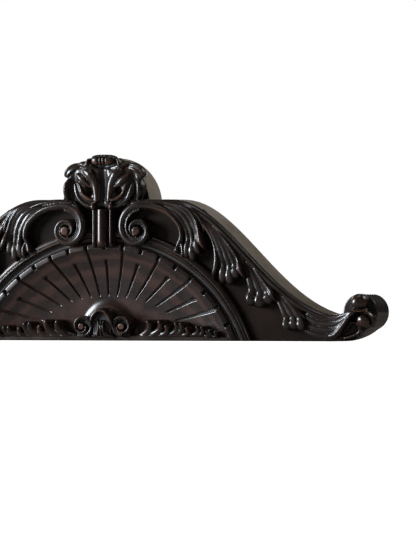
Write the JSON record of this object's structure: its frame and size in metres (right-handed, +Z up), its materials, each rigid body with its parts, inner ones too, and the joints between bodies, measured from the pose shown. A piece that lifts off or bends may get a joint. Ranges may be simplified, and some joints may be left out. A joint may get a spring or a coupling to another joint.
{
  "type": "carved headboard cresting",
  "caption": "Carved walnut cresting with a fluted shell under an arch, large scrolls, acanthus slopes, a leaf crest and scrolled ends; stands on or dowels to the top of a headboard.",
  "frame": {"origin": "middle of the flat underside, centred on the whole length and depth", "axes": "+X along the length to the right-hand scroll as seen from the front, +Y from the carved front to the back, +Z up"},
  "size_m": [1.2, 0.096, 0.38],
  "materials": {
    "board": "bare, dusty grey-brown edges and back, dark wax on the front",
    "carving": "near-black stained walnut, waxed semi-gloss, worn red-brown on the raised edges",
    "shell": "stained and waxed walnut with the growth rings showing in the hollow",
    "dowel": "plain turned beech",
    "screw": "darkened slotted steel"
  },
  "bodies": {
    "root": {"lower_plank": "board", "middle_plank": "board", "upper_plank": "board", "joint_dowels": "dowel", "end_scroll_left": "carving", "end_scroll_right": "carving", "shell_panel": "shell", "shell_screws": "screw", "base_strip": "carving", "notched_fillet_left": "carving", "notched_fillet_right": "carving", "rim_moulding_left": "carving", "rim_moulding_right": "carving", "crest_stem": "carving", "crest_palmette": "carving", "volute_left": "carving", "volute_right": "carving", "acanthus_top_left": "carving", "acanthus_top_right": "carving", "acanthus_upper_left": "carving", "acanthus_upper_right": "carving", "acanthus_lower_left": "carving", "acanthus_lower_right": "carving", "acanthus_tail_left": "carving", "acanthus_tail_right": "carving", "husk_left": "carving", "husk_right": "carving", "base_palmette": "carving", "base_scroll_left": "carving", "base_scroll_right": "carving", "garland_left": "carving", "garland_right": "carving"}
  },
  "joints": []
}
